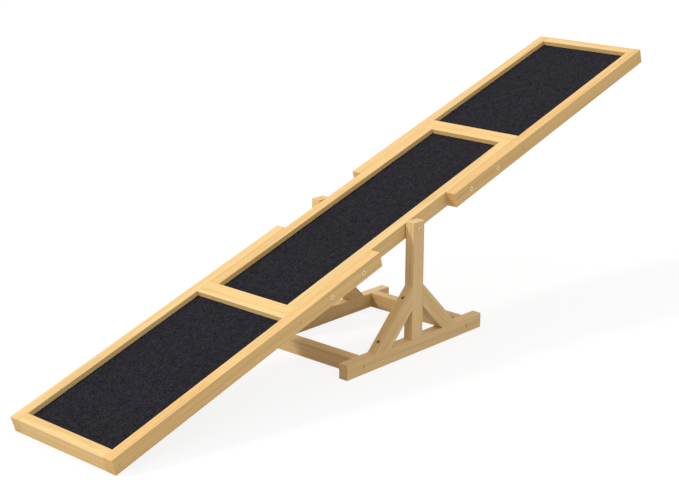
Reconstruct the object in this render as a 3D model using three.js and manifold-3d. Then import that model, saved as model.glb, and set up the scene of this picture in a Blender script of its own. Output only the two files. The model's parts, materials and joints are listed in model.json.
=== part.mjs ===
// Agility seesaw: a long timber plank that tips on a low timber stand.
// Units are millimetres, +Z is up. The origin is on the floor, under the pivot.
// +X points to the raised end of the plank, -Y is the near side.
import * as THREE from 'three';
import { mergeVertices } from 'three/addons/utils/BufferGeometryUtils.js';
import Module from 'manifold-3d';

const wasm = await Module();
wasm.setup();

// Overall sizes
const plankLength = 1797.05;
const plankWidth = 298.45;
const postTop = 298.45;
const pivotBelowPostTop = 17;

// Plank timber, measured from the pivot along the plank
const railThickness = 24.8;
const railDepth = 34;
const outerRailStart = 130.5;
const crossbarCentre = 388.25;
const crossbarWidth = 40.8;

// Walking surface
const sheetRecess = 10;
const sheetThickness = 2;
const panelThickness = 8;
const grooveDepth = 6;

// Stand timber
const frameThickness = 23;
const postWidth = 35;
const footLength = 457.2;
const footHeight = 34;
const crossBeamThickness = 24;
const crossBeamInset = 52.6;
const braceWidth = 35.6;
const braceRise = 120.5;
const braceRun = 120.5;

// Flat-headed bolts where the outer rails overlap the inner rails
const overlapBoltInset = 57.5;
const overlapBoltSpacing = 101;
const boltRadius = 3;
const boltHeadRadius = 6.1;
const boltHeadHeight = 1;
const boltSocketRadius = 2.3;
const boltSocketDepth = 1.8;

// Pivot bolts, their threaded inserts and the spacers beside the posts
const pivotRadius = 4;
const pivotHeadRadius = 5.8;
const pivotHeadHeight = 2.2;
const pivotTipRoom = 2;
const pivotSocketRadius = 2.9;
const pivotSocketDepth = 2.4;
const pivotInsertWall = 1.7;
const spacerRim = 5.7;
const spacerThickness = 1.5;

// Countersunk wood screws
const screwRadius = 2;
const screwHeadRadius = 3.8;
const screwHeadHeight = 2.4;
const screwTipLength = 5;
const screwSink = 0.8;
const plankScrewLength = 50;
const beamScrewLength = 50;
const braceScrewInset = 29;
const braceScrewTipRoom = 7;

// Fits and finish. The groove guard is the timber left between a panel's groove and a bolt.
const fitGap = 0.3;
const grooveGuard = 2.8;
const pivotClearance = 0.4;
const edgeEase = 0.4;
const overrun = 4;

// Facets round bolts, screws and spacers
const boltSides = 16;
const screwSides = 10;
const spacerSides = 32;
const socketSides = 6;

// Dome of a bolt head, as shares of its radius and height, from rim to crown
const domeShares = [[1, 0.45], [0.86, 0.74], [0.62, 0.92], [0, 1]];

// Levels across the plank's width, measured from its centre line
const outerRailOuter = plankWidth / 2;
const outerRailInner = outerRailOuter - railThickness;
const innerRailOuter = outerRailInner - fitGap;
const innerRailInner = innerRailOuter - railThickness;
const frameInner = innerRailOuter + spacerThickness + 2 * fitGap;
const frameOuter = frameInner + frameThickness;

// Levels along the plank and through its depth
const plankEnd = plankLength / 2;
const endRailInner = plankEnd - railThickness;
const crossbarOuter = crossbarCentre + crossbarWidth / 2;
const crossbarInner = crossbarCentre - crossbarWidth / 2;
const sheetBottom = railDepth / 2 - sheetRecess - sheetThickness;
const panelCentreLevel = sheetBottom - fitGap - panelThickness / 2;
const sheetCentreLevel = sheetBottom + sheetThickness / 2;
const overlapBoltDistances = [
  outerRailStart + overlapBoltInset,
  outerRailStart + overlapBoltInset + overlapBoltSpacing,
];

// Bolts and inserts stop short of the panel grooves in the inner rails
const innerGrip = railThickness - grooveDepth - grooveGuard;

// The plank tips until its low end's bottom edge rests on the floor
const pivotHeight = postTop - pivotBelowPostTop;
const cornerReach = Math.hypot(plankEnd, railDepth / 2);
const cornerAngle = Math.atan2(railDepth / 2, plankEnd);
const restTilt = Math.asin(pivotHeight / cornerReach) - cornerAngle;

const finishes = {
  railWood: { color: 0xd9ae72, roughness: 0.6, metalness: 0 },
  standWood: { color: 0xb8935f, roughness: 0.65, metalness: 0 },
  panelWood: { color: 0xc9a874, roughness: 0.7, metalness: 0 },
  gripSheet: { color: 0x2b2b31, roughness: 0.95, metalness: 0 },
  zincSteel: { color: 0xd8cdb0, roughness: 0.35, metalness: 0.9 },
  darkSteel: { color: 0x3a3129, roughness: 0.5, metalness: 0.8 },
  nylon: { color: 0xe6e2d6, roughness: 0.5, metalness: 0 },
};

const sides = [{ label: 'near', sign: -1 }, { label: 'far', sign: 1 }];
const ends = [{ label: 'low', sign: -1 }, { label: 'high', sign: 1 }];

const xAxis = new THREE.Vector3(1, 0, 0);
const yAxis = new THREE.Vector3(0, 1, 0);
const zAxis = new THREE.Vector3(0, 0, 1);

// Outline of a board's section, with its four corners eased
function easedOutline(width, height) {
  const corners = [[1, 1], [-1, 1], [-1, -1], [1, -1]];
  const points = corners.flatMap(([right, up]) => {
    const onSide = new THREE.Vector2(right * width / 2, up * (height / 2 - edgeEase));
    const onTop = new THREE.Vector2(right * (width / 2 - edgeEase), up * height / 2);
    return right * up > 0 ? [onSide, onTop] : [onTop, onSide];
  });
  return new THREE.Shape(points);
}

// A board centred on its own origin, with its grain and its eased edges along one axis
function board(size, grain) {
  const frames = {
    x: { across: 'y', up: 'z', basis: [yAxis, zAxis, xAxis] },
    y: { across: 'z', up: 'x', basis: [zAxis, xAxis, yAxis] },
    z: { across: 'x', up: 'y', basis: [xAxis, yAxis, zAxis] },
  };
  const { across, up, basis } = frames[grain];
  const outline = easedOutline(size[across], size[up]);
  const geometry = new THREE.ExtrudeGeometry(outline, { depth: size[grain], bevelEnabled: false });
  geometry.translate(0, 0, -size[grain] / 2);
  return geometry.applyMatrix4(new THREE.Matrix4().makeBasis(...basis));
}

// A square-edged sheet centred on its own origin
function slab(size) {
  return new THREE.BoxGeometry(size.x, size.y, size.z);
}

// Turn a closed geometry into a solid that can be joined and cut
function toSolid(geometry) {
  const bare = geometry.clone();
  bare.deleteAttribute('normal');
  bare.deleteAttribute('uv');
  const merged = mergeVertices(bare);
  const corners = merged.index.array;
  const kept = [];
  for (let i = 0; i < corners.length; i += 3) {
    const [a, b, c] = [corners[i], corners[i + 1], corners[i + 2]];
    if (a !== b && b !== c && c !== a) kept.push(a, b, c);
  }
  const mesh = new wasm.Mesh({
    numProp: 3,
    vertProperties: new Float32Array(merged.attributes.position.array),
    triVerts: new Uint32Array(kept),
  });
  return new wasm.Manifold(mesh);
}

function toGeometry(solid) {
  const mesh = solid.getMesh();
  const geometry = new THREE.BufferGeometry();
  geometry.setAttribute('position', new THREE.BufferAttribute(mesh.vertProperties, 3));
  geometry.setIndex(new THREE.BufferAttribute(mesh.triVerts, 1));
  geometry.computeVertexNormals();
  return geometry;
}

function cut(geometry, cutters) {
  let solid = toSolid(geometry);
  for (const cutter of cutters) solid = solid.subtract(toSolid(cutter));
  return toGeometry(solid);
}

// Add a piece to a group. Its cutters are given in the group's own frame.
function addPiece(group, name, finish, geometry, place = [0, 0, 0], cutters = []) {
  const [x, y, z] = place;
  const local = cutters.map((cutter) => cutter.clone().translate(-x, -y, -z));
  const shape = local.length > 0 ? cut(geometry, local) : geometry;
  const mesh = new THREE.Mesh(shape, new THREE.MeshStandardMaterial(finishes[finish]));
  mesh.name = name;
  mesh.position.set(x, y, z);
  group.add(mesh);
}

// Turn an outline of [radius, height] points, from tip to crown, about the Y axis
function turned(outline, facets) {
  const points = outline.map(([radius, height]) => new THREE.Vector2(radius, height));
  return new THREE.LatheGeometry(points, facets);
}

// Stand a shape made along +Y at a point, with +Y turned to the outward direction
function standAt(geometry, point, outward) {
  const turn = new THREE.Quaternion().setFromUnitVectors(yAxis, outward);
  return geometry.clone().applyQuaternion(turn).translate(...point);
}

// A bolt with a low dome and a six-sided socket. Height 0 is the face that its head sits on.
function boltShape(radius, reach, head, socket) {
  const dome = domeShares.map(([across, up]) => [across * head.radius, fitGap + up * head.height]);
  const outline = [[0, -reach], [radius, -reach], [radius, fitGap], [head.radius, fitGap], ...dome];
  const height = socket.depth + overrun;
  const pocket = new THREE.CylinderGeometry(socket.radius, socket.radius, height, socketSides);
  pocket.translate(0, fitGap + head.height - socket.depth + height / 2, 0);
  return cut(turned(outline, boltSides), [pocket]);
}

// A plain round hole from the face inward
function holeShape(radius, depth) {
  return turned([[0, -depth], [radius, -depth], [radius, overrun], [0, overrun]], boltSides);
}

// A ring with its middle at height 0
function ringShape(inner, outer, thickness, facets) {
  const [low, high] = [-thickness / 2, thickness / 2];
  return turned([[inner, low], [outer, low], [outer, high], [inner, high], [inner, low]], facets);
}

// A countersunk screw whose head lies just under the face at height 0
function screwShape(length) {
  const top = -screwSink;
  return turned([
    [0, top - length],
    [screwRadius, top - length + screwTipLength],
    [screwRadius, top - screwHeadHeight],
    [screwHeadRadius, top],
    [0, top],
  ], screwSides);
}

// The room that a screw takes up in the timber
function screwRoom(length) {
  const top = -screwSink;
  return turned([
    [0, top - length - fitGap],
    [screwRadius + fitGap, top - length + screwTipLength - fitGap],
    [screwRadius + fitGap, top - screwHeadHeight - fitGap],
    [screwHeadRadius + fitGap, top - fitGap],
    [screwHeadRadius + fitGap, overrun],
    [0, overrun],
  ], screwSides);
}

// The room that a panel takes up, which leaves grooves in the timber round it
function panelRoom(size, place) {
  const room = slab({ x: size.x + 2 * fitGap, y: size.y + 2 * fitGap, z: size.z + 2 * fitGap });
  return room.translate(...place);
}

// Copy one shape to a list of places that each have a point and an outward direction
function copies(shape, places) {
  return places.map(({ point, outward }) => standAt(shape, point, outward));
}

// One place on each long side of each end, for a fastener that enters from the side
function sidePlaces(distance, level, height = 0) {
  return sides.flatMap((side) => ends.map((end) => ({
    label: `${end.label}_${side.label}`,
    point: [end.sign * distance, side.sign * level, height],
    outward: yAxis.clone().multiplyScalar(side.sign),
  })));
}

// Add one fastener to a group at each place
function addFasteners(group, name, finish, shape, places) {
  for (const { label, point, outward } of places) {
    const mesh = new THREE.Mesh(shape, new THREE.MeshStandardMaterial(finishes[finish]));
    mesh.name = `${name}_${label}`;
    mesh.position.set(...point);
    mesh.quaternion.setFromUnitVectors(yAxis, outward);
    group.add(mesh);
  }
}

// Plank
const plank = new THREE.Group();
plank.position.set(0, 0, pivotHeight);
plank.rotation.y = -restTilt;

const overlapPlaces = overlapBoltDistances.map((distance) => sidePlaces(distance, outerRailOuter));
const boltReach = railThickness + fitGap + innerGrip;
const overlapBolt = boltShape(
  boltRadius,
  boltReach,
  { radius: boltHeadRadius, height: boltHeadHeight },
  { radius: boltSocketRadius, depth: boltSocketDepth },
);
const overlapRoom = holeShape(boltRadius + fitGap, boltReach + fitGap);
const overlapRooms = overlapPlaces.flatMap((places) => copies(overlapRoom, places));
overlapPlaces.forEach((places, row) => {
  addFasteners(plank, `overlap_bolt_${row + 1}`, 'zincSteel', overlapBolt, places);
});

const endScrewPlaces = sidePlaces(plankEnd - railThickness / 2, outerRailOuter);
const crossbarScrewPlaces = sidePlaces(crossbarCentre, outerRailOuter);
const endScrewRooms = copies(screwRoom(plankScrewLength), endScrewPlaces);
const crossbarScrewRooms = copies(screwRoom(plankScrewLength), crossbarScrewPlaces);

const endPanelInner = crossbarOuter - grooveDepth;
const endPanelOuter = endRailInner + grooveDepth;
const endPanelCentre = (endPanelInner + endPanelOuter) / 2;
const endPanelSize = {
  x: endPanelOuter - endPanelInner - 2 * fitGap,
  y: 2 * (outerRailInner + grooveDepth - fitGap),
  z: panelThickness,
};
const middlePanelSize = {
  x: 2 * (crossbarInner + grooveDepth - fitGap),
  y: 2 * (innerRailInner + grooveDepth - fitGap),
  z: panelThickness,
};
const panelRooms = [
  ...ends.map(({ sign }) => panelRoom(endPanelSize, [sign * endPanelCentre, 0, panelCentreLevel])),
  panelRoom(middlePanelSize, [0, 0, panelCentreLevel]),
];

// Outer rails, end rails and crossbars frame the two end sections
const outerRailSize = { x: plankEnd - outerRailStart, y: railThickness, z: railDepth };
const endRailSize = { x: railThickness, y: 2 * (outerRailInner - fitGap), z: railDepth };
const crossbarSize = { x: crossbarWidth, y: 2 * (outerRailInner - fitGap), z: railDepth };
const railRooms = [...overlapRooms, ...endScrewRooms, ...crossbarScrewRooms, ...panelRooms];

for (const end of ends) {
  for (const side of sides) {
    addPiece(plank, `outer_rail_${end.label}_${side.label}`, 'railWood', board(outerRailSize, 'x'), [
      end.sign * (outerRailStart + plankEnd) / 2,
      side.sign * (outerRailInner + railThickness / 2),
      0,
    ], railRooms);
  }
  const endRailPlace = [end.sign * (plankEnd - railThickness / 2), 0, 0];
  addPiece(plank, `end_rail_${end.label}`, 'railWood', board(endRailSize, 'y'), endRailPlace, [
    ...endScrewRooms,
    ...panelRooms,
  ]);
  const crossbarPlace = [end.sign * crossbarCentre, 0, 0];
  addPiece(plank, `crossbar_${end.label}`, 'railWood', board(crossbarSize, 'y'), crossbarPlace, [
    ...crossbarScrewRooms,
    ...panelRooms,
  ]);
}

// Pivot bolts turn in the posts and are held by inserts in the inner rails
const pivotReach = frameOuter - innerRailOuter + fitGap + innerGrip - pivotTipRoom;
const pivotBolt = boltShape(
  pivotRadius,
  pivotReach,
  { radius: pivotHeadRadius, height: pivotHeadHeight },
  { radius: pivotSocketRadius, depth: pivotSocketDepth },
);
const ringInner = pivotRadius + fitGap;
const pivotInsert = ringShape(ringInner, ringInner + pivotInsertWall, innerGrip, boltSides);
pivotInsert.translate(0, -fitGap - innerGrip / 2, 0);
const pivotInsertRoom = holeShape(ringInner + pivotInsertWall + fitGap, innerGrip + 2 * fitGap);
const spacer = ringShape(ringInner, ringInner + spacerRim, spacerThickness, spacerSides);
const spacerLevel = innerRailOuter + fitGap + spacerThickness / 2;

// Inner rails run from crossbar to crossbar, inside the outer rails
const innerRailSize = { x: 2 * (crossbarInner - fitGap), y: railThickness, z: railDepth };

for (const side of sides) {
  const outward = yAxis.clone().multiplyScalar(side.sign);
  const onRail = [0, side.sign * innerRailOuter, 0];
  const railPlace = [0, side.sign * (innerRailInner + railThickness / 2), 0];
  addPiece(plank, `inner_rail_${side.label}`, 'railWood', board(innerRailSize, 'x'), railPlace, [
    ...overlapRooms,
    ...panelRooms,
    standAt(pivotInsertRoom, onRail, outward),
  ]);
  const boltSeat = [0, side.sign * frameOuter, 0];
  addPiece(plank, `pivot_bolt_${side.label}`, 'zincSteel', standAt(pivotBolt, boltSeat, outward));
  addPiece(plank, `pivot_insert_${side.label}`, 'zincSteel', standAt(pivotInsert, onRail, outward));
  addPiece(plank, `pivot_spacer_${side.label}`, 'nylon', spacer, [0, side.sign * spacerLevel, 0]);
}

// Panels lie in the grooves, and each carries a grip sheet between the timbers
const endSheetSize = {
  x: endRailInner - crossbarOuter - 2 * fitGap,
  y: 2 * (outerRailInner - fitGap),
  z: sheetThickness,
};
const middleSheetSize = {
  x: 2 * (crossbarInner - fitGap),
  y: 2 * (innerRailInner - fitGap),
  z: sheetThickness,
};
const endSheetCentre = (endRailInner + crossbarOuter) / 2;
const sections = [
  ...ends.map(({ label, sign }) => ({
    label,
    panel: { size: endPanelSize, along: sign * endPanelCentre },
    sheet: { size: endSheetSize, along: sign * endSheetCentre },
  })),
  {
    label: 'middle',
    panel: { size: middlePanelSize, along: 0 },
    sheet: { size: middleSheetSize, along: 0 },
  },
];
for (const { label, panel, sheet } of sections) {
  const panelPlace = [panel.along, 0, panelCentreLevel];
  const sheetPlace = [sheet.along, 0, sheetCentreLevel];
  addPiece(plank, `panel_${label}`, 'panelWood', slab(panel.size), panelPlace);
  addPiece(plank, `grip_sheet_${label}`, 'gripSheet', slab(sheet.size), sheetPlace);
}

const plankScrew = screwShape(plankScrewLength);
addFasteners(plank, 'end_rail_screw', 'zincSteel', plankScrew, endScrewPlaces);
addFasteners(plank, 'crossbar_screw', 'zincSteel', plankScrew, crossbarScrewPlaces);

// Stand
const stand = new THREE.Group();
const frameCentre = (frameInner + frameOuter) / 2;
const postHalf = postWidth / 2;
const crossBeamCentre = footLength / 2 - crossBeamInset;

// A screw through each foot beam holds the end of each cross beam
const beamScrewPlaces = sidePlaces(crossBeamCentre, frameOuter, footHeight / 2);
const beamScrewRooms = copies(screwRoom(beamScrewLength), beamScrewPlaces);

// Two screws enter the upper face of each brace, square to it, one near each end.
// The upper one stops short of the middle of the post, so the two sides' screws don't meet.
const braceLength = Math.hypot(braceRise, braceRun);
const alongRun = braceRun / braceLength;
const alongRise = braceRise / braceLength;
const reachToPostMiddle = (postHalf + braceScrewInset * alongRun) / alongRise;
const braceScrewLength = reachToPostMiddle - braceScrewTipRoom - screwSink;
const braceScrewRows = [
  { name: 'brace_screw_upper', down: braceScrewInset },
  { name: 'brace_screw_lower', down: braceLength - braceScrewInset },
];
function braceScrewPlaces(down) {
  return sides.flatMap((side) => ends.map((end) => ({
    label: `${end.label}_${side.label}`,
    point: [
      end.sign * (postHalf + down * alongRun),
      side.sign * frameCentre,
      footHeight + braceRise - down * alongRise,
    ],
    outward: new THREE.Vector3(end.sign * alongRise, 0, alongRun),
  })));
}
const braceScrewRooms = braceScrewRows.flatMap(({ down }) => (
  copies(screwRoom(braceScrewLength), braceScrewPlaces(down))
));

// A brace fills the corner between its post and its foot beam
function braceShape(sign) {
  const innerRise = braceRise - braceWidth / alongRun;
  const innerRun = braceRun - braceWidth / alongRise;
  const outline = new THREE.Shape([
    new THREE.Vector2(0, innerRise),
    new THREE.Vector2(0, braceRise),
    new THREE.Vector2(sign * braceRun, 0),
    new THREE.Vector2(sign * innerRun, 0),
  ]);
  const geometry = new THREE.ExtrudeGeometry(outline, { depth: frameThickness, bevelEnabled: false });
  geometry.rotateX(Math.PI / 2);
  return geometry.translate(0, frameThickness / 2, 0);
}

const footSize = { x: footLength, y: frameThickness, z: footHeight };
const postSize = { x: postWidth, y: frameThickness, z: postTop - footHeight };
const crossBeamSize = { x: crossBeamThickness, y: 2 * frameInner, z: footHeight };
const pivotHole = holeShape(pivotRadius + pivotClearance, frameThickness + overrun);

for (const side of sides) {
  const outward = yAxis.clone().multiplyScalar(side.sign);
  const across = side.sign * frameCentre;
  const footPlace = [0, across, footHeight / 2];
  addPiece(stand, `foot_beam_${side.label}`, 'standWood', board(footSize, 'x'), footPlace, [
    ...beamScrewRooms,
    ...braceScrewRooms,
  ]);
  const postPlace = [0, across, (footHeight + postTop) / 2];
  addPiece(stand, `post_${side.label}`, 'standWood', board(postSize, 'z'), postPlace, [
    ...braceScrewRooms,
    standAt(pivotHole, [0, side.sign * frameOuter, pivotHeight], outward),
  ]);
  for (const end of ends) {
    const bracePlace = [end.sign * postHalf, across, footHeight];
    const brace = braceShape(end.sign);
    addPiece(stand, `brace_${end.label}_${side.label}`, 'standWood', brace, bracePlace, braceScrewRooms);
  }
}
for (const end of ends) {
  const place = [end.sign * crossBeamCentre, 0, footHeight / 2];
  const crossBeam = board(crossBeamSize, 'y');
  addPiece(stand, `cross_beam_${end.label}`, 'standWood', crossBeam, place, beamScrewRooms);
}

addFasteners(stand, 'cross_beam_screw', 'zincSteel', screwShape(beamScrewLength), beamScrewPlaces);
for (const { name, down } of braceScrewRows) {
  addFasteners(stand, name, 'darkSteel', screwShape(braceScrewLength), braceScrewPlaces(down));
}

const seesaw = new THREE.Group();
seesaw.add(stand, plank);

export default seesaw;
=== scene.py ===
import json
import math
import random

import bmesh
import bpy
from mathutils import Matrix, Vector, noise


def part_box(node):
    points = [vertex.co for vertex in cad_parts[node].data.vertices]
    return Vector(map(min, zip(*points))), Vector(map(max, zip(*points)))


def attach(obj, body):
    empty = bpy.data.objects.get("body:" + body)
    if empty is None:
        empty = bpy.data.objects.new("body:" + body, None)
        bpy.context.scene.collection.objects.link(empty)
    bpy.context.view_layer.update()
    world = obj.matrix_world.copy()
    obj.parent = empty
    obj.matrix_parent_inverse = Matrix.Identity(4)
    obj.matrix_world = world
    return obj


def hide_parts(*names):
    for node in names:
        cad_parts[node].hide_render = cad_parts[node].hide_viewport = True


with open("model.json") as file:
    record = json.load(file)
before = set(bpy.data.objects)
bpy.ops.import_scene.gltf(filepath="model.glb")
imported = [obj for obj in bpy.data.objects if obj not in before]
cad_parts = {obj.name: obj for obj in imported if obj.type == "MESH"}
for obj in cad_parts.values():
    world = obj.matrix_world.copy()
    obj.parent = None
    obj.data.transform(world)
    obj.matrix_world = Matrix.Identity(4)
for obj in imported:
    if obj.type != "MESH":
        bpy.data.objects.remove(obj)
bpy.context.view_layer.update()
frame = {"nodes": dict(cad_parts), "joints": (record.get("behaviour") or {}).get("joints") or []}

# The finished look of an agility seesaw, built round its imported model.
# Lengths are metres, +Z is up, +X points to the raised end and -Y is the near side.

MM = 0.001

# Camera, fitted to the corners and edges of the object in the photograph
CAMERA_PLACE = Vector((-2.50856, -2.18214, 1.22148))
CAMERA_TURN = math.radians(47.9499)
CAMERA_DIP = math.radians(16.6557)
CAMERA_ROLL = math.radians(-0.2646)
FOCAL_PIXELS = 1569.19
PHOTO_WIDTH = 679
SENSOR_WIDTH = 36.0

# Light: a soft sun on the camera's left, half way up, and an even white sky
SUN_HEIGHT = math.radians(40)
SUN_SWING = math.radians(40)
SUN_WIDTH = math.radians(8)
SUN_STRENGTH = 1.52
SUN_COLOUR = (1.0, 0.99, 0.96)
SKY_STRENGTH = 0.83
WHITE = (1.0, 1.0, 1.0, 1.0)
BLACK = (0.0, 0.0, 0.0, 1.0)

# Floor: its colour for the light that it throws back, then the colour and the glow that are seen
FLOOR_COLOUR = (0.43, 0.43, 0.43, 1.0)
FLOOR_SEEN_COLOUR = (0.96, 0.96, 0.97, 1.0)
FLOOR_GLOW = 0.86
FLOOR_SIZE = 60.0
FLOOR_CELLS = 8

# The plank's own directions. It tips as far one way as the other, so it rests at half its travel.
PLANK_TILT = math.radians(frame["joints"][0]["range_deg"][1]) / 2
ALONG = Vector((math.cos(PLANK_TILT), 0, math.sin(PLANK_TILT)))
ACROSS = Vector((0, 1, 0))
ABOVE = Vector((-math.sin(PLANK_TILT), 0, math.cos(PLANK_TILT)))

# The stand's directions
X = Vector((1, 0, 0))
Y = Vector((0, 1, 0))
Z = Vector((0, 0, 1))

# Words in the names of pieces, and on which side of the middle they lie
SIDES = {"near": -1, "far": 1}
ENDS = {"low": -1, "high": 1}
BAYS = ("low", "middle", "high")

# Kinds of timber: pale and dark colour as linear values, and width of the year rings
RAIL_PINE = ((0.85, 0.56, 0.22, 1.0), (0.62, 0.34, 0.10, 1.0), 5.5 * MM)
STAND_PINE = ((0.83, 0.585, 0.275, 1.0), (0.60, 0.36, 0.135, 1.0), 5.0 * MM)
PLYWOOD = ((0.80, 0.60, 0.36, 1.0), (0.62, 0.42, 0.21, 1.0), 9 * MM)

# How light and how creamy each board is beside the others of its kind. The darker foot_beam_far,
# cross_beam_high and high braces carry painted shade for the plank's shadow; the other values are the
# boards' own variation.
BOARD_TONES_AND_SHADE = {
    "end_rail_low": (1.05, 0.7),
    "end_rail_high": (0.965, 0.6),
    "crossbar_low": (1.03, 0.9),
    "crossbar_high": (0.97, 0.0),
    "inner_rail_near": (1.00, 0.6),
    "inner_rail_far": (0.97, 0.0),
    "outer_rail_low_near": (0.96, 0.1),
    "outer_rail_low_far": (0.98, 0.75),
    "outer_rail_high_near": (0.96, 0.0),
    "outer_rail_high_far": (0.95, 0.5),
    "foot_beam_near": (1.04, 0.0),
    "foot_beam_far": (0.94, 0.2),
    "cross_beam_low": (1.03, 0.0),
    "cross_beam_high": (0.84, 0.0),
    "brace_low_near": (1.02, 0.2),
    "brace_high_near": (0.91, 0.0),
    "brace_high_far": (0.86, 0.0),
}
PLAIN_TONE = (1.0, 0.0)
CREAM = (0.0, 0.08, 0.22)

# Edges of the boards
WELD = 0.01 * MM
FLAT_ANGLE = math.radians(0.5)
EDGE_ROUND = 0.2 * MM
EDGE_STEPS = 2
EDGE_ANGLE = math.radians(40)

# Noise seldom leaves this span, so a pattern is spread over its range from there
NOISE_SPAN = (0.3, 0.7)

# Where a mix node for colours has its inputs and its output
MIX_SHARE = 0
MIX_FIRST = 6
MIX_SECOND = 7
MIX_RESULT = 2


class Shader:
    """A node tree, with short ways to add nodes and to link them."""

    def __init__(self, tree):
        self.tree = tree

    def feed(self, node, inputs):
        """Set a node's inputs to values, or link them to what other nodes give."""
        for key, value in inputs.items():
            if isinstance(value, bpy.types.NodeSocket):
                self.tree.links.new(value, node.inputs[key])
            else:
                node.inputs[key].default_value = value

    def add(self, kind, inputs=None, **settings):
        made = self.tree.nodes.new(kind)
        for name, value in settings.items():
            setattr(made, name, value)
        self.feed(made, inputs or {})
        return made

    def math(self, operation, a, b=0.0, c=0.0):
        return self.add("ShaderNodeMath", {0: a, 1: b, 2: c}, operation=operation).outputs[0]

    def total(self, *parts):
        """The sum of some values, each given with its weight."""
        whole = 0.0
        for value, weight in parts:
            whole = self.math("ADD", whole, self.math("MULTIPLY", value, weight))
        return whole

    def vector(self, operation, a, b=(0, 0, 0)):
        made = self.add("ShaderNodeVectorMath", {0: a, 1: b}, operation=operation)
        return made.outputs["Value" if operation in ("LENGTH", "DOT_PRODUCT") else "Vector"]

    def noise(self, place, cells, detail=2.0, roughness=0.5):
        """Noise with this many cells to a metre, or to a unit of the place."""
        inputs = {"Vector": place, "Scale": cells, "Detail": detail, "Roughness": roughness}
        return self.add("ShaderNodeTexNoise", inputs).outputs["Fac"]

    def range(self, value, low, high, to_low=0.0, to_high=1.0, smooth=False):
        inputs = {"Value": value, "From Min": low, "From Max": high}
        inputs.update({"To Min": to_low, "To Max": to_high})
        kind = "SMOOTHSTEP" if smooth else "LINEAR"
        return self.add("ShaderNodeMapRange", inputs, interpolation_type=kind).outputs["Result"]

    def spread(self, pattern, low=0.0, high=1.0):
        """A noise pattern spread from low to high."""
        return self.range(pattern, *NOISE_SPAN, low, high)

    def mix(self, share, a, b, blend="MIX"):
        inputs = {MIX_SHARE: share, MIX_FIRST: a, MIX_SECOND: b}
        made = self.add("ShaderNodeMix", inputs, data_type="RGBA", blend_type=blend)
        return made.outputs[MIX_RESULT]

    def mix_shader(self, share, a, b):
        return self.add("ShaderNodeMixShader", {0: share, 1: a, 2: b}).outputs[0]

    def ramp(self, value, stops):
        made = self.add("ShaderNodeValToRGB", {"Fac": value})
        made.color_ramp.interpolation = "EASE"
        points = made.color_ramp.elements
        while len(points) < len(stops):
            points.new(0.5)
        for point, (position, grey) in zip(points, stops):
            point.position = position
            point.color = (grey, grey, grey, 1.0)
        return made.outputs["Color"]

    def bump(self, height, strength, distance):
        inputs = {"Strength": strength, "Distance": distance, "Height": height}
        return self.add("ShaderNodeBump", inputs).outputs["Normal"]


def new_material(name):
    """A material, its node tree and the Principled shader that it starts with."""
    material = bpy.data.materials.new(name)
    material.use_nodes = True
    return material, Shader(material.node_tree), material.node_tree.nodes["Principled BSDF"]


def show(name, data):
    """An object in the scene with that mesh, lamp or camera."""
    made = bpy.data.objects.new(name, data)
    bpy.context.scene.collection.objects.link(made)
    return made


def finished(name, mesh):
    """The mesh data of a bmesh that is complete."""
    data = bpy.data.meshes.new(name)
    mesh.to_mesh(data)
    mesh.free()
    return data


def dress(node, material):
    """Give a node one material in place of what it had."""
    node.data.materials.clear()
    node.data.materials.append(material)


# Wood

WOOD_INPUTS = {
    "Place": "NodeSocketVector",
    "Facing": "NodeSocketVector",
    "Half size": "NodeSocketVector",
    "Pith": "NodeSocketVector",
    "Drift": "NodeSocketVector",
    "Ring width": "NodeSocketFloat",
    "Pale": "NodeSocketColor",
    "Dark": "NodeSocketColor",
}
WOOD_OUTPUTS = {
    "Colour": "NodeSocketColor",
    "Roughness": "NodeSocketFloat",
    "Height": "NodeSocketFloat",
}

# Patterns: cells to a metre across, through and along the grain, then detail and roughness
WOOD_PATTERNS = {
    "bend": ((9, 9, 1.6), 3.0, 0.5),
    "streak": ((150, 150, 3.2), 3.0, 0.6),
    "thread": ((1300, 1300, 26), 2.0, 0.6),
    "patch": ((14, 14, 2.4), 2.0, 0.5),
    "blush": ((32, 32, 1.7), 2.0, 0.5),
    "dash": ((900, 900, 60), 0.0, 0.5),
    "ragged": ((260, 260, 40), 3.0, 0.5),
}

# Year rings: how far they bend, how dark they get over one year, and how strong a year can be
BEND_DEPTH = 20 * MM
YEAR_PROFILE = [(0.0, 0.0), (0.55, 0.22), (0.86, 1.0), (1.0, 0.0)]
YEAR_STRENGTH = (0.35, 1.0)

# How far each pattern darkens the wood, from its weakest to its strongest place
STREAK_TONE = (-0.22, 0.32)
THREAD_TONE = (-0.14, 0.18)
PATCH_TONE = (-0.06, 0.09)
RING_TONE = 0.42
DASH_TONE = 0.35
DASH_SPAN = (0.74, 0.82)

# Cut ends, by how squarely they face along the grain
END_SPAN = (0.80, 0.97)
END_TONE = (0.04, 0.36)
END_ROUGHER = 0.15

# A slow blush of warmer wood
BLUSH_SPAN = (0.42, 0.68)
BLUSH_SHARE = 0.5
BLUSH_COLOUR = (1.04, 0.93, 0.84, 1.0)

# Worn edges, lightened both as wear and as a painted highlight: how ragged and how wide they are, then
# their colour and gloss
RAGGED_DEPTH = 1.6 * MM
WORN_HIGHLIGHT_SPAN = (0.8 * MM, 2.2 * MM)
WORN_HIGHLIGHT_SHARE = 0.18
WORN_HIGHLIGHT_COLOUR = (1.0, 0.80, 0.50, 1.0)
WORN_SMOOTHER = 0.08

# Surface: roughness from pale to dark wood, shares in the relief, then its strength and depth
WOOD_ROUGHNESS = (0.50, 0.66)
THREAD_RELIEF = 0.5
STREAK_RELIEF = 0.3
RING_RELIEF = -0.2
DASH_RELIEF = -0.6
WOOD_BUMP = (0.25, 0.3 * MM)

# How boards differ: place of the pith, place in the noise, shade and width of the year rings
PITH_SWAY = 30 * MM
PITH_DEPTH = (30 * MM, 90 * MM)
DRIFT_REACH = 5.0
SHADE_SPREAD = (-0.06, 0.05)
RING_SPREAD = (0.85, 1.2)


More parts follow.
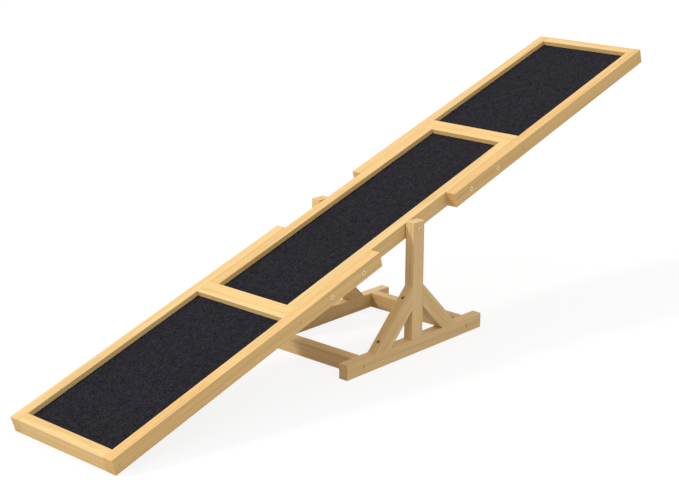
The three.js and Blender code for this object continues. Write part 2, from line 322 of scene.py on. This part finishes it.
def late_wood(s, given, bend):
    """How dark the year rings are: rings about the pith, each year with its own strength."""
    from_pith = s.vector("SUBTRACT", given["Place"], given["Pith"])
    radius = s.vector("LENGTH", s.vector("MULTIPLY", from_pith, (1, 1, 0)))
    radius = s.math("ADD", radius, s.math("MULTIPLY", bend, BEND_DEPTH))
    years = s.math("DIVIDE", radius, given["Ring width"])
    late = s.ramp(s.math("FRACT", years), YEAR_PROFILE)
    count = {"W": s.math("FLOOR", years)}
    chance = s.add("ShaderNodeTexWhiteNoise", count, noise_dimensions="1D").outputs["Value"]
    return s.math("MULTIPLY", late, s.range(chance, 0, 1, *YEAR_STRENGTH))


def edge_wear_and_highlight(s, given, ragged):
    """1 at a board's edges, falling to 0 a little way in: the mask of wear and of a painted highlight.
    """
    depth = s.vector("SUBTRACT", given["Half size"], s.vector("ABSOLUTE", given["Place"]))
    parts = s.add("ShaderNodeSeparateXYZ", {0: depth}).outputs
    # Near an edge two of the three distances to the board's faces are small
    nearer = s.math("MINIMUM", parts[0], parts[1])
    further = s.math("MAXIMUM", parts[0], parts[1])
    second = s.math("MAXIMUM", nearer, s.math("MINIMUM", further, parts[2]))
    second = s.math("ADD", second, s.math("MULTIPLY", ragged, RAGGED_DEPTH))
    return s.range(second, *WORN_HIGHLIGHT_SPAN, 1.0, 0.0, smooth=True)


def wood_group():
    """Sawn pine as one solid texture: year rings about a pith, fibres along Z, worn edges with a
    painted highlight.
    """
    group = bpy.data.node_groups.new("sawn_pine", "ShaderNodeTree")
    for way, sockets in (("INPUT", WOOD_INPUTS), ("OUTPUT", WOOD_OUTPUTS)):
        for name, kind in sockets.items():
            group.interface.new_socket(name, in_out=way, socket_type=kind)
    s = Shader(group)
    given = s.add("NodeGroupInput").outputs
    wander = s.vector("ADD", given["Place"], given["Drift"])
    seen = {}
    for name, (cells, detail, roughness) in WOOD_PATTERNS.items():
        seen[name] = s.noise(s.vector("MULTIPLY", wander, cells), 1.0, detail, roughness)
    late = late_wood(s, given, seen["bend"])
    dash = s.range(seen["dash"], *DASH_SPAN, smooth=True)
    wear_and_highlight = edge_wear_and_highlight(s, given, seen["ragged"])

    # Cut ends drink more finish and show their rings more
    grain_way = s.math("ABSOLUTE", s.vector("DOT_PRODUCT", given["Facing"], (0, 0, 1)))
    cut_end = s.range(grain_way, *END_SPAN, smooth=True)
    tone = s.total(
        (late, RING_TONE),
        (s.spread(seen["streak"], *STREAK_TONE), 1.0),
        (s.spread(seen["thread"], *THREAD_TONE), 1.0),
        (s.spread(seen["patch"], *PATCH_TONE), 1.0),
        (dash, DASH_TONE),
        (cut_end, s.range(late, 0, 1, *END_TONE)),
    )
    colour = s.mix(s.range(tone, 0, 1), given["Pale"], given["Dark"])
    blush = s.range(seen["blush"], *BLUSH_SPAN, 0, BLUSH_SHARE, smooth=True)
    colour = s.mix(1.0, colour, s.mix(blush, WHITE, BLUSH_COLOUR), "MULTIPLY")
    # Painted highlight: every edge is lightened, partly as wear
    colour = s.mix(s.math("MULTIPLY", wear_and_highlight, WORN_HIGHLIGHT_SHARE), colour, WORN_HIGHLIGHT_COLOUR)

    rough = s.range(tone, 0, 1, *WOOD_ROUGHNESS)
    rough = s.total((rough, 1.0), (cut_end, END_ROUGHER), (wear_and_highlight, -WORN_SMOOTHER))
    height = s.total(
        (seen["thread"], THREAD_RELIEF),
        (seen["streak"], STREAK_RELIEF),
        (late, RING_RELIEF),
        (dash, DASH_RELIEF),
    )
    s.add("NodeGroupOutput", {"Colour": colour, "Roughness": rough, "Height": height})
    return group


def board_basis(through, grain):
    """Columns across, through and along the grain of a board."""
    return Matrix((through.cross(grain), through, grain)).transposed()


def brace_slope(end, side):
    """The direction in which a brace runs down, away from its post."""
    low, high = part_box(f"brace_{end}_{side}")
    return Vector((ENDS[end] * (high.x - low.x), 0, low.z - high.z)).normalized()


def extent(node, basis):
    """The middle and the half size of a node, measured in its board's own directions."""
    turned = [basis.transposed() @ v.co for v in node.data.vertices]
    low = Vector([min(p[i] for p in turned) for i in range(3)])
    high = Vector([max(p[i] for p in turned) for i in range(3)])
    return (low + high) / 2, (high - low) / 2


def toned(colour, shade, tone):
    """A timber colour with a board's own shade, its lightness, which for some stand boards is painted
    shade, and its creaminess.
    """
    light, cream = tone
    return [c * (1 + shade) * light * (1 + cream * more) for c, more in zip(colour, CREAM)] + [1.0]


def wood_material(group, node, basis, timber):
    """Sawn wood laid along one board, cut from its own place in the tree."""
    material, s, principled = new_material("wood_" + node.name)
    pale, dark, ring_width = timber
    chance = random.Random(node.name)
    sway = chance.uniform(-1, 1) * PITH_SWAY
    pith = (sway, chance.choice((-1, 1)) * chance.uniform(*PITH_DEPTH), 0)
    drift = [chance.uniform(-DRIFT_REACH, DRIFT_REACH) for _ in range(3)]
    shade = chance.uniform(*SHADE_SPREAD)
    ring_width *= chance.uniform(*RING_SPREAD)
    # For some stand boards the tone is painted shade for the plank's shadow
    tone = BOARD_TONES_AND_SHADE.get(node.name, PLAIN_TONE)

    middle, half = extent(node, basis)
    turn = basis.transposed().to_euler("XYZ")
    seen = s.add("ShaderNodeTexCoord").outputs
    place = {"Vector": seen["Object"], "Location": -middle, "Rotation": turn}
    facing = {"Vector": seen["Normal"], "Rotation": turn}
    wood = s.add("ShaderNodeGroup", node_tree=group)
    s.feed(wood, {
        "Place": s.add("ShaderNodeMapping", place).outputs["Vector"],
        "Facing": s.add("ShaderNodeMapping", facing, vector_type="NORMAL").outputs["Vector"],
        "Half size": half,
        "Pith": pith,
        "Drift": drift,
        "Ring width": ring_width,
        "Pale": toned(pale, shade, tone),
        "Dark": toned(dark, 0, tone),
    })
    s.feed(principled, {
        "Base Color": wood.outputs["Colour"],
        "Roughness": wood.outputs["Roughness"],
        "Normal": s.bump(wood.outputs["Height"], *WOOD_BUMP),
        "Specular IOR Level": 0.35,
    })
    return material


def ease_edges(node):
    """Join the node's triangles into flat faces and round their edges a little."""
    node.modifiers.new("weld", "WELD").merge_threshold = WELD
    flatten = node.modifiers.new("flatten", "DECIMATE")
    flatten.decimate_type = "DISSOLVE"
    flatten.angle_limit = FLAT_ANGLE
    bevel = node.modifiers.new("ease", "BEVEL")
    bevel.width = EDGE_ROUND
    bevel.segments = EDGE_STEPS
    bevel.limit_method = "ANGLE"
    bevel.angle_limit = EDGE_ANGLE


def dress_timber():
    """Give each rail, bar, beam, post, brace and panel its own piece of wood."""
    plank_long = board_basis(ABOVE, ALONG)
    plank_cross = board_basis(ABOVE, ACROSS)
    boards = {}
    for side in SIDES:
        boards["inner_rail_" + side] = (plank_long, RAIL_PINE)
        for end in ENDS:
            boards[f"outer_rail_{end}_{side}"] = (plank_long, RAIL_PINE)
    for end in ENDS:
        boards["crossbar_" + end] = (plank_cross, RAIL_PINE)
        boards["end_rail_" + end] = (plank_cross, RAIL_PINE)
    for side in SIDES:
        boards["foot_beam_" + side] = (board_basis(Z, X), STAND_PINE)
        boards["post_" + side] = (board_basis(Y, Z), STAND_PINE)
        for end in ENDS:
            boards[f"brace_{end}_{side}"] = (board_basis(Y, brace_slope(end, side)), STAND_PINE)
    for end in ENDS:
        boards["cross_beam_" + end] = (board_basis(Z, Y), STAND_PINE)
    for bay in BAYS:
        boards["panel_" + bay] = (plank_long, PLYWOOD)
    group = wood_group()
    for name, (basis, timber) in boards.items():
        node = frame["nodes"][name]
        dress(node, wood_material(group, node, basis, timber))
        ease_edges(node)


# Grip sheets

# Patterns: cells to a metre, detail and roughness, then how far they lighten the felt
FELT_PATTERNS = {
    "mottle": (75, 3.0, 0.6, -0.32, 0.36),
    "tuft": (240, 2.0, 0.6, -0.75, 0.85),
    "speck": (520, 1.0, 0.5, -0.9, 1.0),
    "fibre": (1500, 2.0, 0.6, -0.3, 0.4),
}
FELT_SPAN = (-1.3, 1.6)
FELT_DARK = (0.0, 0.0, 0.001, 1.0)
FELT_PALE = (0.0355, 0.0342, 0.0405, 1.0)

# Small spots of a warm and a cool tint
TINT_CELLS = 210
TINT_PLACE = (3.1, 1.7, 4.2)
TINT_SPAN = (0.35, 0.65)
WARM_TINT = (1.12, 1.0, 0.92, 1.0)
COOL_TINT = (0.88, 0.97, 1.16, 1.0)

# The felt's surface: roughness, share of the fibres in its relief, strength and height of it
FELT_ROUGHNESS = (0.86, 0.98)
FIBRE_RELIEF = 0.6
FELT_BUMP = (0.7, 0.7 * MM)

# A mesh attribute that is 0 at a sheet's cut edge and 1 within, and where painted shade turns the felt
# dark towards that edge, for the shadow between sheet and timber
INSIDE = "inside"
EDGE_SHADE_SPAN = (0.1, 1.0)

# The sheets' meshes: cells, ripples of the top, fraying and drop of the cut edge
FELT_CELL = 2.5 * MM
RIPPLE_DEPTH = 0.22 * MM
MEAN_RIPPLE = 0.5
BROAD_RIPPLE = 0.3
BROAD_CELLS = 70
FINE_RIPPLE = 0.2
FINE_CELLS = 240
FELT_FRAY = 0.12 * MM
FRAY_CELLS = 300
FELT_EDGE_DROP = 0.5 * MM


def felt_material():
    """Charcoal felt: matted fibres, small tufts, slow mottling and painted shade along its cut edge.
    """
    material, s, principled = new_material("charcoal_felt")
    place = s.add("ShaderNodeTexCoord").outputs["Object"]
    seen = {}
    light = 0.0
    for name, (cells, detail, roughness, low, high) in FELT_PATTERNS.items():
        seen[name] = s.noise(place, cells, detail, roughness)
        light = s.math("ADD", light, s.spread(seen[name], low, high))
    shade = s.mix(s.range(light, *FELT_SPAN), FELT_DARK, FELT_PALE)
    cool = s.noise(s.vector("ADD", place, TINT_PLACE), TINT_CELLS)
    tint = s.mix(s.range(cool, *TINT_SPAN, smooth=True), WARM_TINT, COOL_TINT)
    shade = s.mix(1.0, shade, tint, "MULTIPLY")
    # Painted shade: the felt turns black towards its cut edge, for the shadow in the gap between the
    # sheet and the timber
    inside = s.add("ShaderNodeAttribute", attribute_name=INSIDE).outputs["Fac"]
    inside = s.range(inside, *EDGE_SHADE_SPAN, smooth=True)
    height = s.total((seen["fibre"], FIBRE_RELIEF), (seen["tuft"], 1.0))
    s.feed(principled, {
        "Base Color": s.mix(inside, BLACK, shade),
        "Roughness": s.spread(seen["tuft"], *FELT_ROUGHNESS),
        "Normal": s.bump(height, *FELT_BUMP),
        "Specular IOR Level": 0.04,
        "Sheen Weight": 0.01,
        "Sheen Roughness": 0.6,
    })
    return material


def wave(x, y, layer, cells):
    """Smooth noise from -1 to 1 over a sheet, with this many cells to a metre."""
    return noise.noise(Vector((x, y, layer)) * cells)


def matted_sheet(name, low, high):
    """A thin sheet with a matted top and slightly uneven cut edges, in the plank's directions."""
    columns, rows = [max(2, round((high[i] - low[i]) / FELT_CELL)) for i in range(2)]
    mesh = bmesh.new()
    top = {}
    bottom = {}
    for i in range(columns + 1):
        for j in range(rows + 1):
            x = low.x + (high.x - low.x) * i / columns
            y = low.y + (high.y - low.y) * j / rows
            ripple = MEAN_RIPPLE + BROAD_RIPPLE * wave(x, y, 0, BROAD_CELLS)
            ripple += FINE_RIPPLE * wave(x, y, 1, FINE_CELLS)
            on_edge = i in (0, columns) or j in (0, rows)
            drop = RIPPLE_DEPTH * ripple + (FELT_EDGE_DROP if on_edge else 0)
            tug = FELT_FRAY * (1 + wave(x, y, 2, FRAY_CELLS)) if on_edge else 0
            x += tug * ((i == 0) - (i == columns))
            y += tug * ((j == 0) - (j == rows))
            top[i, j] = mesh.verts.new((x, y, high.z - drop))
            if on_edge:
                bottom[i, j] = mesh.verts.new((x, y, low.z))
    for i in range(columns):
        for j in range(rows):
            mesh.faces.new((top[i, j], top[i + 1, j], top[i + 1, j + 1], top[i, j + 1]))
    rim = [(i, 0) for i in range(columns)]
    rim += [(columns, j) for j in range(rows)]
    rim += [(i, rows) for i in range(columns, 0, -1)]
    rim += [(0, j) for j in range(rows, 0, -1)]
    for here, there in zip(rim, rim[1:] + rim[:1]):
        mesh.faces.new((top[there], top[here], bottom[here], bottom[there]))
    mesh.faces.new([bottom[k] for k in reversed(rim)])
    for face in mesh.faces:
        face.smooth = True
    # The layer says where the felt's material paints shade along the cut edge
    inside = mesh.verts.layers.float.new(INSIDE)
    rim_corners = {top[k] for k in rim} | set(bottom.values())
    for corner in mesh.verts:
        corner[inside] = 0.0 if corner in rim_corners else 1.0
    return show(name, finished(name, mesh))


def lay_sheets():
    """Lay a felt sheet on each panel, in the place of the plain one."""
    felt = felt_material()
    basis = Matrix((ALONG, ACROSS, ABOVE)).transposed()
    for bay in BAYS:
        node = frame["nodes"]["grip_sheet_" + bay]
        middle, half = extent(node, basis)
        sheet = matted_sheet("felt_" + bay, middle - half, middle + half)
        sheet.matrix_world = basis.to_4x4()
        dress(sheet, felt)
        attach(sheet, "plank")
        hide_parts(node.name)


# Fasteners

# Finishes: colour, roughness and how metallic they are
FINISHES = {
    "zinc_plate": ((0.74, 0.56, 0.31), 0.34, 1.0),
    "warm_zinc": ((0.68, 0.48, 0.27), 0.46, 1.0),
    "yellow_zinc": ((0.55, 0.36, 0.18), 0.42, 1.0),
    "dark_steel": ((0.26, 0.11, 0.04), 0.50, 0.25),
    "insert_steel": ((0.72, 0.60, 0.38), 0.42, 1.0),
}

# Clouds of wear on the metal: cells to a metre, detail and roughness, then what they change
CLOUD = (420, 4.0, 0.6)
CLOUD_DARK = 0.86
CLOUD_PALE = 1.06
CLOUD_ROUGHER = 0.1
CLOUD_SMOOTHER = 0.06

# Fine grit on the metal
GRIT_CELLS = 2600
GRIT_BUMP = (0.3, 0.05 * MM)

# Nylon of the spacers
NYLON_CELLS = 160
NYLON_DETAIL = 3.0
NYLON_DARK = (0.62, 0.58, 0.50, 1.0)
NYLON_PALE = (0.74, 0.71, 0.64, 1.0)
NYLON_ROUGHNESS = (0.42, 0.55)

# The body that each kind of fastener rides, its finish and the slot of its material
FASTENERS = {
    "overlap_bolt": ("plank", "zinc_plate", "zinc_steel"),
    "pivot_bolt": ("plank", "zinc_plate", "zinc_steel"),
    "end_rail_screw": ("plank", "warm_zinc", "zinc_steel"),
    "crossbar_screw": ("plank", "warm_zinc", "zinc_steel"),
    "cross_beam_screw": ("stand", "yellow_zinc", "zinc_steel"),
    "brace_screw": ("stand", "dark_steel", "dark_steel"),
}

# Bolts in millimetres, with radii for head and shank. 0.2 of a head's height is in the wood.
LAP_BOLT = {"head": 6.1, "head_height": 1.2, "shank": 3.0, "socket": 4.0, "depth": 1.7, "plain": 16}
PIVOT_BOLT = {"head": 5.8, "head_height": 2.4, "shank": 4.0, "socket": 5.0, "depth": 2.3, "plain": 28}
BOLT_PITCH = 1.0
BOLT_TIP = 1
SOCKET_LIP = 0.12
DOME_CREASE = 0.02
FOOT_EDGE = 0.15
FOOT_CHAMFER = 0.2

# Shares of a bolt's shank, of its socket's depth and width, and of its head
BOLT_CORE = 0.84
BOLT_TIP_SHARE = 0.6
DRILL_DEPTH = 1.12
DRILL_TIP = 0.25
DRILL_RADIUS = 0.44
SOCKET_FLARE = 1.10
CROWN_FLAT = 0.58
DOME_SHARE = 0.69

# Wood screws in millimetres, with radii too. The recess goes by depth, reach and blade width.
SCREW_HEAD = 3.8
SCREW_HEAD_HEIGHT = 2.4
SCREW_SHANK = 2.0
SCREW_TIP = 5.0
SCREW_PITCH = 1.6
RECESS = ((1.7, 0.75, 0.7), (0.9, 1.5, 0.9), (0.06, 2.1, 1.0), (0.0, 2.2, 1.1))
RECESS_END = (-2.0, 0.25)
HEAD_CHAMFER = 0.25
HEAD_EDGE_TOP = 0.22
HEAD_EDGE_FOOT = 0.5
POINT_LENGTH = 0.3
POINT_RADIUS = 0.18
POINT_TIP = 0.06

# Shares of a screw's shank, and of its length
SCREW_CORE = 0.66
SCREW_NECK = 0.8
PLAIN_SHARE = 0.2

# Turned meshes: corners round them, rings in a dome and in a thread's turn, and sharp edges
CORNERS = 48
DOME_STEPS = 8
THREAD_STEPS = 6
SHARP_ANGLE = math.radians(32)

# Share of a thread's turn that each flank takes up
THREAD_FLANK = 0.28

# Keeps a division from meeting zero
TINY = 1e-6

# How far in from its outermost point a fastener's face is looked for
CROWN_DEPTH = 0.02 * MM

# The steels that are made so far
STEELS = {}


def steel(name):
    """Steel with rubbed spots and a fine grit, made when it is first asked for."""
    if name in STEELS:
        return STEELS[name]
    material, s, principled = new_material(name)
    STEELS[name] = material
    colour, roughness, metallic = FINISHES[name]
    place = s.add("ShaderNodeTexCoord").outputs["Object"]
    cloud = s.noise(place, *CLOUD)
    dark = [c * CLOUD_DARK for c in colour] + [1.0]
    pale = [min(1.0, c * CLOUD_PALE) for c in colour] + [1.0]
    s.feed(principled, {
        "Base Color": s.mix(s.spread(cloud), dark, pale),
        "Roughness": s.spread(cloud, roughness + CLOUD_ROUGHER, roughness - CLOUD_SMOOTHER),
        "Normal": s.bump(s.noise(place, GRIT_CELLS), *GRIT_BUMP),
        "Metallic": metallic,
    })
    return material


def nylon_material():
    """Cream nylon, slightly clouded."""
    material, s, principled = new_material("nylon")
    cloud = s.noise(s.add("ShaderNodeTexCoord").outputs["Object"], NYLON_CELLS, NYLON_DETAIL)
    s.feed(principled, {
        "Base Color": s.mix(s.spread(cloud), NYLON_DARK, NYLON_PALE),
        "Roughness": s.spread(cloud, *NYLON_ROUGHNESS),
    })
    return material


def turned_mesh(name, rings):
    """A closed body from rings in millimetres: a height, and a radius or a function for one."""
    mesh = bmesh.new()
    loops = []
    for height, radius in rings:
        loop = []
        for k in range(CORNERS):
            angle = math.tau * k / CORNERS
            r = (radius(angle, height) if callable(radius) else radius) * MM
            loop.append(mesh.verts.new((r * math.cos(angle), r * math.sin(angle), height * MM)))
        loops.append(loop)
    for above, below in zip(loops, loops[1:]):
        for k in range(CORNERS):
            after = (k + 1) % CORNERS
            mesh.faces.new((above[k], below[k], below[after], above[after]))
    mesh.faces.new(loops[0])
    mesh.faces.new(list(reversed(loops[-1])))
    bmesh.ops.recalc_face_normals(mesh, faces=mesh.faces)
    for face in mesh.faces:
        face.smooth = len(face.verts) == 4
    data = finished(name, mesh)
    data.set_sharp_from_angle(angle=SHARP_ANGLE)
    return data


def hexagon(across):
    """The radius of a hexagon, from its middle, that measures this much from flat to flat."""
    return lambda angle, height: across / 2 / math.cos((angle % (math.pi / 3)) - math.pi / 6)


def cross(arm, blade):
    """The radius of a cross-shaped recess with this reach of its arms and this width of blade."""
    def radius(angle, height):
        c = max(abs(math.cos(angle)), TINY)
        s = max(abs(math.sin(angle)), TINY)
        flat = min(arm / c, blade / 2 / s)
        tall = min(arm / s, blade / 2 / c)
        return max(flat, tall)
    return radius


def threaded(core, crest, pitch):
    """The radius of a thread that winds down the shank."""
    def radius(angle, height):
        turn = (height / pitch + angle / math.tau) % 1.0
        return core + (crest - core) * max(0.0, 1 - abs(turn - 0.5) / THREAD_FLANK)
    return radius


def thread_rings(top, bottom, core, crest, pitch):
    """Rings of a thread between two heights, fading in and out over one turn."""
    count = max(2, round((top - bottom) / pitch * THREAD_STEPS))
    rings = []
    for i in range(count + 1):
        height = top + (bottom - top) * i / count
        fade = min(1.0, (top - height) / pitch, (height - bottom) / pitch)
        rings.append((height, threaded(core, core + (crest - core) * max(0.0, fade), pitch)))
    return rings


def bolt_mesh(name, length, head, head_height, shank, socket, depth, plain):
    """A low-domed bolt with a hexagon socket. Height 0 is its crown."""
    rings = [
        (-depth * DRILL_DEPTH, DRILL_TIP * socket),
        (-depth, DRILL_RADIUS * socket),
        (-depth, hexagon(socket)),
        (-SOCKET_LIP, hexagon(socket)),
        (0.0, hexagon(socket * SOCKET_FLARE)),
    ]
    flat = CROWN_FLAT * head
    for i in range(DOME_STEPS + 1):
        lean = math.pi / 2 * i / DOME_STEPS
        drop = (1 - math.cos(lean)) * head_height * DOME_SHARE + DOME_CREASE * (i > 0)
        rings.append((-drop, flat + (head - flat) * math.sin(lean)))
    rings += [
        (-head_height + FOOT_EDGE, head),
        (-head_height, head - FOOT_CHAMFER),
        (-head_height, shank),
        (-head_height - plain, shank),
    ]
    thread_end = -length + BOLT_TIP
    rings += thread_rings(-head_height - plain, thread_end, shank * BOLT_CORE, shank, BOLT_PITCH)
    rings.append((-length, shank * BOLT_TIP_SHARE))
    return turned_mesh(name, rings)


def screw_mesh(name, length):
    """A countersunk screw with a cross recess. Height 0 is its head's face."""
    plain_end = -SCREW_HEAD_HEIGHT - PLAIN_SHARE * length
    rings = [RECESS_END]
    rings += [(-depth, cross(arm, blade)) for depth, arm, blade in RECESS]
    rings += [
        (0.0, SCREW_HEAD - HEAD_CHAMFER),
        (-HEAD_EDGE_TOP, SCREW_HEAD),
        (-HEAD_EDGE_FOOT, SCREW_HEAD),
        (-SCREW_HEAD_HEIGHT, SCREW_SHANK),
        (plain_end, SCREW_SHANK * SCREW_NECK),
    ]
    core = SCREW_SHANK * SCREW_CORE
    rings += thread_rings(plain_end, -length + SCREW_TIP, core, SCREW_SHANK, SCREW_PITCH)
    rings += [(-length + POINT_LENGTH, POINT_RADIUS), (-length, POINT_TIP)]
    return turned_mesh(name, rings)


def crown(node, outward):
    """The middle of a fastener's outermost face."""
    points = {tuple(round(c, 6) for c in v.co) for v in node.data.vertices}
    points = [Vector(p) for p in points]
    top = max(p.dot(outward) for p in points)
    face = [p for p in points if top - p.dot(outward) < CROWN_DEPTH]
    return sum(face, Vector()) / len(face)


def length_of(kind, place, outward):
    """The length of a plain fastener along its axis, in millimetres."""
    node = frame["nodes"][f"{kind}_{place}"]
    along = [v.co.dot(outward) for v in node.data.vertices]
    return (max(along) - min(along)) / MM


def put(name, data, kind, place, outward, chance):
    """Stand a turned mesh at a plain fastener's crown and let it take that one's place."""
    body, finish, slot = FASTENERS[kind]
    node = frame["nodes"][f"{kind}_{place}"]
    made = show(name, data)
    turn = outward.to_track_quat("Z", "Y").to_matrix().to_4x4()
    spin = Matrix.Rotation(chance.uniform(0, 1), 4, "Z")
    made.matrix_world = Matrix.Translation(crown(node, outward)) @ turn @ spin
    dress(made, steel(finish))
    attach(made, body)
    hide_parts(node.name)


def drive_fasteners():
    """Put a finished bolt or screw where each plain one is, turned by chance."""
    chance = random.Random("fasteners")
    for side, sign in SIDES.items():
        outward = Vector((0, sign, 0))
        length = length_of("overlap_bolt", "1_low_" + side, outward)
        bolt = bolt_mesh("bolt_" + side, length, **LAP_BOLT)
        for end in ENDS:
            for row in (1, 2):
                place = f"{row}_{end}_{side}"
                put("lap_bolt_" + place, bolt, "overlap_bolt", place, outward, chance)
        length = length_of("pivot_bolt", side, outward)
        pivot = bolt_mesh("pivot_" + side, length, **PIVOT_BOLT)
        put("pivot_" + side, pivot, "pivot_bolt", side, outward, chance)
        for kind in ("end_rail_screw", "crossbar_screw", "cross_beam_screw"):
            screw = screw_mesh(f"{kind}_{side}", length_of(kind, "low_" + side, outward))
            for end in ENDS:
                place = f"{end}_{side}"
                put(f"{kind}_{place}.head", screw, kind, place, outward, chance)
        for end, end_sign in ENDS.items():
            slope = brace_slope(end, side)
            face = end_sign * Vector((-slope.z, 0, slope.x))
            for level in ("upper", "lower"):
                place = f"{level}_{end}_{side}"
                screw = screw_mesh("brace_screw_" + place, length_of("brace_screw", place, face))
                put(f"brace_screw_{place}.head", screw, "brace_screw", place, face, chance)


def dress_bearings():
    """Finish the inserts and the spacers, which keep their own shapes."""
    nylon = nylon_material()
    for side in SIDES:
        for kind, material in (("insert", steel("insert_steel")), ("spacer", nylon)):
            node = frame["nodes"][f"pivot_{kind}_{side}"]
            dress(node, material)
            ease_edges(node)


# Stage

def background_share(s):
    """1 for rays that see the background directly, in a mirror or through glass."""
    path = s.add("ShaderNodeLightPath").outputs
    direct = s.math("MAXIMUM", path["Is Camera Ray"], path["Is Glossy Ray"])
    return s.math("MAXIMUM", direct, path["Is Transmission Ray"])


def lay_floor():
    """A pale floor that looks almost white and keeps a soft shadow."""
    mesh = bmesh.new()
    bmesh.ops.create_grid(mesh, x_segments=FLOOR_CELLS, y_segments=FLOOR_CELLS, size=FLOOR_SIZE / 2)
    floor = show("floor", finished("floor", mesh))
    material = bpy.data.materials.new("pale_floor")
    material.use_nodes = True
    s = Shader(material.node_tree)
    s.tree.nodes.clear()
    thrown = s.add("ShaderNodeBsdfDiffuse", {"Color": FLOOR_COLOUR}).outputs[0]
    shaded = s.add("ShaderNodeBsdfDiffuse", {"Color": FLOOR_SEEN_COLOUR}).outputs[0]
    glow = s.add("ShaderNodeEmission", {"Color": WHITE, "Strength": 1.0}).outputs[0]
    seen = s.mix_shader(FLOOR_GLOW, shaded, glow)
    both = s.mix_shader(background_share(s), thrown, seen)
    s.add("ShaderNodeOutputMaterial", {"Surface": both})
    dress(floor, material)


def light_stage():
    """The sky, which shows as plain white, and the sun."""
    world = bpy.data.worlds.new("sky")
    bpy.context.scene.world = world
    world.use_nodes = True
    s = Shader(world.node_tree)
    s.tree.nodes.clear()
    sky = s.add("ShaderNodeBackground", {"Color": WHITE, "Strength": SKY_STRENGTH}).outputs[0]
    plain = s.add("ShaderNodeBackground", {"Color": WHITE, "Strength": 1.0}).outputs[0]
    s.add("ShaderNodeOutputWorld", {"Surface": s.mix_shader(background_share(s), sky, plain)})
    lamp = bpy.data.lights.new("sun", "SUN")
    lamp.energy = SUN_STRENGTH
    lamp.color = SUN_COLOUR
    lamp.angle = SUN_WIDTH
    sun = show("sun", lamp)
    level = math.cos(SUN_HEIGHT)
    towards = Vector((-math.cos(SUN_SWING) * level, math.sin(SUN_SWING) * level, math.sin(SUN_HEIGHT)))
    sun.rotation_euler = towards.to_track_quat("Z", "Y").to_euler()


def place_camera():
    """The camera that sees the seesaw as the photograph does."""
    lens = bpy.data.cameras.new("camera")
    lens.sensor_width = SENSOR_WIDTH
    lens.lens = FOCAL_PIXELS * SENSOR_WIDTH / PHOTO_WIDTH
    lens.clip_end = 2 * FLOOR_SIZE
    camera = show("camera", lens)
    turn = Matrix.Rotation(-CAMERA_TURN, 4, "Z") @ Matrix.Rotation(math.pi / 2 - CAMERA_DIP, 4, "X")
    roll = Matrix.Rotation(-CAMERA_ROLL, 4, "Z")
    camera.matrix_world = Matrix.Translation(CAMERA_PLACE) @ turn @ roll
    bpy.context.scene.camera = camera


place_camera()
light_stage()
lay_floor()
dress_timber()
lay_sheets()
drive_fasteners()
dress_bearings()
bpy.context.scene.view_settings.view_transform = "Standard"
